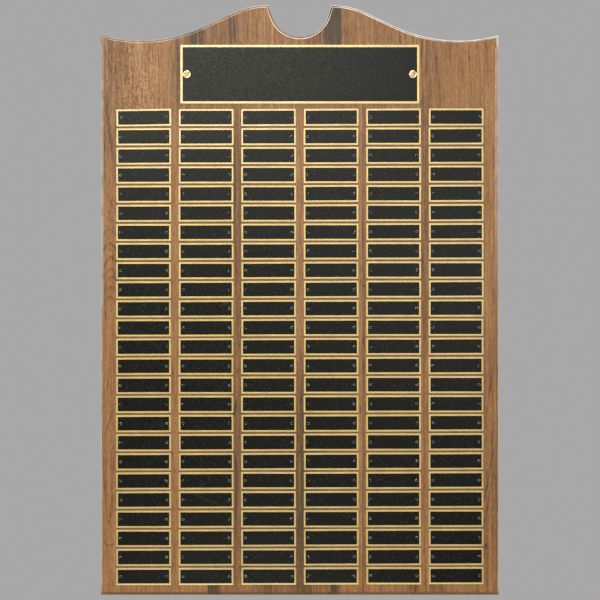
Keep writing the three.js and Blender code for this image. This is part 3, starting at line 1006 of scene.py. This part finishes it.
def hanger_mesh():
    """A keyhole hanger whose outer edges are softened, countersunk at both ends."""
    outline = round_ended(HANGER_WIDTH, HANGER_LENGTH)[:-1]
    soft = HANGER_SOFTNESS
    bm = bmesh.new()
    rings = [ring(bm, outline, -HANGER_THICKNESS), ring(bm, outline, -soft),
             ring(bm, inset(outline, soft * 0.3), -soft * 0.3),
             ring(bm, inset(outline, soft), 0.0)]
    loft(bm, rings)
    cap(bm, rings[0])
    cap(bm, rings[-1])
    plate = mesh_from(bm, "hanger")
    through = -2 * HANGER_THICKNESS
    sink_profile = [(0, through), (SINK_RADIUS + SINK_SLOPE * through, through),
                    (SINK_RADIUS + SINK_SLOPE * OVERRUN, OVERRUN), (0, OVERRUN)]
    cutters = [(prism(keyhole_outline(), through, OVERRUN), place())]
    for end in (-1, 1):
        sink = turned(sink_profile, name="sink")
        cutters.append((sink, place(0, 0, end * HANGER_SCREW_PITCH / 2)))
    mesh = cut(plate, cutters)
    shade(mesh)
    return mesh


def make_hangers(metal):
    for side, name in ((-1, "left"), (1, "right")):
        x, z = middle_of(f"keyhole_hanger_{name}")
        hanger = hanger_mesh()
        hanger.transform(place(x, 0, z))
        finish_piece(hanger, f"hanger_plate_{name}", [metal],
                     [f"keyhole_hanger_{name}"])
        for end, level in ((-1, "lower"), (1, "upper")):
            screw = screw_mesh(**HANGER_SCREW)
            turn = math.radians(HANGER_SCREW_TURNS[level] * side)
            twist = Matrix.Rotation(turn, 4, "Y")
            facing = Matrix.Rotation(math.pi, 4, "Z")
            screw.transform(place(x, 0, z + end * HANGER_SCREW_PITCH / 2) @ facing @ twist)
            finish_piece(screw, f"back_screw_{name}_{level}", [metal],
                         [f"hanger_screw_{name}_{level}"])


# Marks in each stave, in mm: the line's top x and z, its foot x and z, how far it fades to the left
# and to the right, and how much darker it makes the wood, or paler where that is below 0
STREAKS = [
    [(-299, 384, -290, 350, 2, 3, 0.25), (-298, 313, -287, 218, 3, 5, 0.3),
     (-294, 160, -283, 135, 2, 2, 0.25), (-287, -166, -298, -202, 3, 3, 0.2),
     (-285, -238, -286, -268, 2, 2, 0.25), (-287, -431, -285, -440, 3, 2, 0.35),
     (-230, 405, -227, 369, 15, 18, 0.1), (-294, 440, -294, 180, 14, 30, 0.14),
     (-235, 420, -235, 290, 60, 60, -0.15), (-197.5, 460, -197.5, 270, 1, 30, 0.1)],
    [(-148, 470, -148, 305, 150, 150, 0.22), (-192, 460, -192, 270, 1, 16, 0.1),
     (-170, 452, -169, 390, 1, 32, 0.55), (-103, 445, -98, 396, 2, 2, 0.5),
     (-109, 442, -104, 396, 9, 5, 0.2), (-124, 433, -124, 396, 9, 9, -0.15),
     (-155, -434, -155, -448, 14, 14, -0.12), (-141, -428, -141, -456, 2, 38, 0.55),
     (-191, 186, -191, 168, 2, 2, 0.25), (-190, -139, -191, -170, 2, 2, 0.25),
     (-103, 246, -96, 177, 5, 3, 0.3), (-96, 184, -102, 105, 5, 3, 0.3),
     (-94, 59, -93, -55, 5, 3, 0.35), (-93, -113, -93, -159, 3, 3, 0.3),
     (-93, -144, -102, -179, 3, 3, 0.5), (-103, -230, -96, -276, 3, 5, 0.25),
     (-96, -273, -94, -376, 5, 5, 0.2), (-98, 301, -98, -445, 18, 31, 0.2)],
    [(-67, 433, -66, 413, 1, 1, 0.6), (63, 455, 63, 390, 46, 1, 1.0),
     (-83, -434, -83, -448, 11, 11, -0.12), (52, -428, 52, -456, 15, 15, 0.6),
     (-50, -428, -50, -456, 22, 22, 0.2), (0, -110, 0, -460, 61, 61, 0.38),
     (5, -224, -6, -242, 2, 2, 0.4), (3, -325, -4, -356, 2, 2, 0.2),
     (-1, -15, -1, -23, 2, 2, 0.25), (-87, 301, -87, -445, 25, 18, 0.2),
     (0, 301, 0, -95, 60, 60, -0.1)],
    [(89, 307, 89, -448, 0.5, 1.2, 0.3), (92, -49, 99, -73, 5, 6, 0.3),
     (95, -92, 95, -113, 8, 8, 0.4), (94, -29, 95, -41, 3, 3, 0.2),
     (95, 82, 95, 81, 9, 9, 0.5), (95, 65, 95, 64, 9, 9, 0.5), (95, 49, 95, 48, 9, 9, 0.4),
     (95, 23, 95, 20, 9, 9, 0.45), (92, -268, 92, -296, 2, 2, 0.2),
     (94, -311, 94, -337, 2, 2, 0.2), (118, 427, 120, 399, 3, 3, 0.25),
     (152, 421, 154, 390, 3, 3, 0.2), (178, -434, 178, -448, 18, 8, 0.2),
     (93, 301, 93, -445, 20, 20, 0.24), (93, -60, 93, -445, 20, 20, 0.1),
     (93, 301, 93, -20, 20, 20, 0.08), (191, 440, 191, 270, 14, 1, 0.22),
     (191, 301, 191, -90, 12, 1, 0.2), (191, -90, 191, -445, 12, 1, 0.1)],
    [(211, 376, 215, 295, 5, 5, 0.2), (230, 405, 232, 366, 5, 3, 0.2),
     (189, 194, 195, 160, 3, 3, 0.1), (189, 146, 194, 115, 3, 3, 0.15),
     (190, 301, 190, -445, 20, 20, 0.12), (190, 301, 190, -20, 20, 20, 0.06),
     (300, 430, 300, -445, 30, 20, -0.08), (192, -63, 192, -149, 12, 12, -0.12),
     (186, -364, 194, -451, 3, 5, 0.3), (208, -434, 208, -448, 14, 25, 0.14),
     (296, 20, 297, -15, 2, 2, 0.25), (296, -101, 292, -133, 2, 2, 0.3),
     (291, -135, 287, -170, 2, 2, 0.3),
     (295, -199, 295, -230, 2, 2, 0.25), (298, -262, 298, -276, 2, 1.5, 0.3),
     (295, -238, 285, -301, 2, 2, 0.4), (292, -285, 283, -353, 2, 2, 0.3),
     (286, -373, 286, -381, 3, 3, 0.5), (292, -46, 292, -445, 31, 31, 0.2)],
]
# Arches of the first stave's figure: crown x and z, half width, drop of the feet, thickness, depth
ARCHES = [[(-292, 108, 9, 8, 3.5, 0.2), (-292, 87, 9, 10, 3, 0.28), (-290, 66, 9, 13, 2.5, 0.35),
           (-290, 47, 9, 10, 3.5, 0.25), (-289, 36, 8, 9, 3.5, 0.22), (-291, 20, 9, 8, 3.5, 0.22),
           (-292, 5, 8, 7, 3, 0.18), (-294, -340, 8, -100, 2, 0.22), (-293, -377, 7, -5, 2, 0.3)],
          [], [], [], []]
# The patch of curled figure, as a line with its reaches, and each stave's tone and contrast
CURLS = [(-250, 410, -250, 200, 60, 60), None, None, None, None]
TONES = [0.47, 0.46, 0.49, 0.48, 0.49]
FIGURES = [0.45, 1.0, 0.85, 1.25, 1.0]

woods = [walnut(index, *grown)
         for index, grown in enumerate(zip(TONES, FIGURES, STREAKS, ARCHES, CURLS), start=1)]
border_brass = brass("border_brass", rgb(184, 158, 82), rgb(199, 171, 89), 0.5, 0.7)
washer_brass = brass("washer_brass", rgb(228, 207, 158), rgb(243, 228, 190), 0.22, 0.6)
screw_brass = brass("screw_brass", rgb(206, 174, 106), rgb(226, 196, 126), 0.44, 0.4)
coat_black = black_coat()
pin_black = steel("pin_black", (9, 9, 9), 0.3)
pin_rim = worn_rim()
zinc = steel("zinc", (150, 152, 156), 0.38)

make_board(woods)
make_plates(border_brass, coat_black, pin_black, pin_rim)
make_header(border_brass, coat_black)
make_fixings(washer_brass, screw_brass)
make_hangers(zinc)


# Floor, light and camera

BACKGROUND = rgb(168, 168, 168)
CAMERA_DISTANCE = 6.0
FRAME_WIDTH = 0.921
FRAME_SHIFT = 0.0002
SENSOR_WIDTH = 36
FLOOR_Z = -0.73
FLOOR_RADIUS = 1.3
AMBIENT_BELOW = 0.02
AMBIENT_ABOVE = 0.75

# Each lamp's place, the point it faces, its width and height, and its radiance
LAMPS = {
    "key": ((-0.33, -2.4, 0.72), (0, 0, 0), 0.9, 0.65, 12.0),
    "low": ((-0.12, -2.4, -0.73), (-0.1, 0, -0.2), 0.36, 0.12, 15.0),
    "right_fill": ((0.5, -2.4, 0.15), (0.2, 0, 0.1), 0.8, 0.6, 3.0),
    "left_edge": ((-1.5, -0.5, 0.4), (-0.2, 0, 0.3), 0.4, 0.8, 4.0),
    "right_edge": ((1.5, -0.1, 0.45), (0.3, 0, 0.3), 0.3, 0.5, 9.0),
    "top_edge": ((0.2, -0.5, 2.4), (0, 0, 0), 1.8, 0.7, 4.8),
}


def make_floor():
    bm = bmesh.new()
    bmesh.ops.create_circle(bm, cap_ends=True, segments=96, radius=FLOOR_RADIUS)
    mesh = mesh_from(bm, "floor")
    for face in mesh.polygons:
        if face.normal.z < 0:
            mesh.flip_normals()
            break
    pale = Shader("floor_pale")
    mottle = pale.noise(3, 3)
    tint = pale.ramp(mottle, [(0.3, rgb(214, 214, 212)), (0.7, rgb(222, 222, 220))])
    pale.surface(Base_Color=tint, Roughness=0.8)
    floor = object_from(mesh, "floor", [pale.material])
    floor.location.z = FLOOR_Z


def make_lamp(name, location, target, width, height, radiance):
    lamp = bpy.data.lights.new(name, "AREA")
    lamp.shape = "RECTANGLE"
    lamp.size = width
    lamp.size_y = height
    lamp.energy = radiance * math.pi * width * height
    thing = bpy.data.objects.new(name, lamp)
    thing.visible_camera = False
    thing.location = location
    towards = Vector(target) - Vector(location)
    thing.rotation_euler = towards.to_track_quat("-Z", "Y").to_euler()
    bpy.context.scene.collection.objects.link(thing)


def make_world():
    """Soft light from above for the object, and plain grey where the camera looks past it."""
    world = bpy.data.worlds.new("studio")
    bpy.context.scene.world = world
    world.use_nodes = True
    nodes = Nodes(world.node_tree)
    paths = nodes.add("ShaderNodeLightPath").outputs
    seen = paths["Is Camera Ray"]
    for kind in ("Is Glossy Ray", "Is Transmission Ray"):
        seen = nodes.math("MAXIMUM", seen, paths[kind])
    direction = nodes.add("ShaderNodeTexCoord").outputs["Generated"]
    split = nodes.add("ShaderNodeSeparateXYZ", {"Vector": direction})
    strength = nodes.add("ShaderNodeMapRange", {
        "Value": split.outputs["Z"], "From Min": -1.0, "To Min": AMBIENT_BELOW,
        "To Max": AMBIENT_ABOVE})
    ambient = nodes.add("ShaderNodeBackground", {
        "Color": (1.0, 1.0, 1.0, 1.0), "Strength": strength.outputs[0]})
    backdrop = nodes.add("ShaderNodeBackground", {"Color": BACKGROUND})
    choose = nodes.add("ShaderNodeMixShader", {
        0: seen, 1: ambient.outputs[0], 2: backdrop.outputs[0]})
    nodes.add("ShaderNodeOutputWorld", {"Surface": choose.outputs[0]})


def make_camera():
    data = bpy.data.cameras.new("camera")
    data.sensor_width = SENSOR_WIDTH
    data.lens = SENSOR_WIDTH * CAMERA_DISTANCE / FRAME_WIDTH
    camera = bpy.data.objects.new("camera", data)
    silhouette_y = EDGE_CHAMFER - BOARD_THICKNESS
    camera.location = (FRAME_SHIFT, silhouette_y - CAMERA_DISTANCE, FRAME_SHIFT)
    camera.rotation_euler = (math.pi / 2, 0, 0)
    bpy.context.scene.collection.objects.link(camera)
    bpy.context.scene.camera = camera


make_floor()
make_world()
for lamp_name, settings in LAMPS.items():
    make_lamp(lamp_name, *settings)
make_camera()
bpy.context.scene.view_settings.view_transform = "Standard"
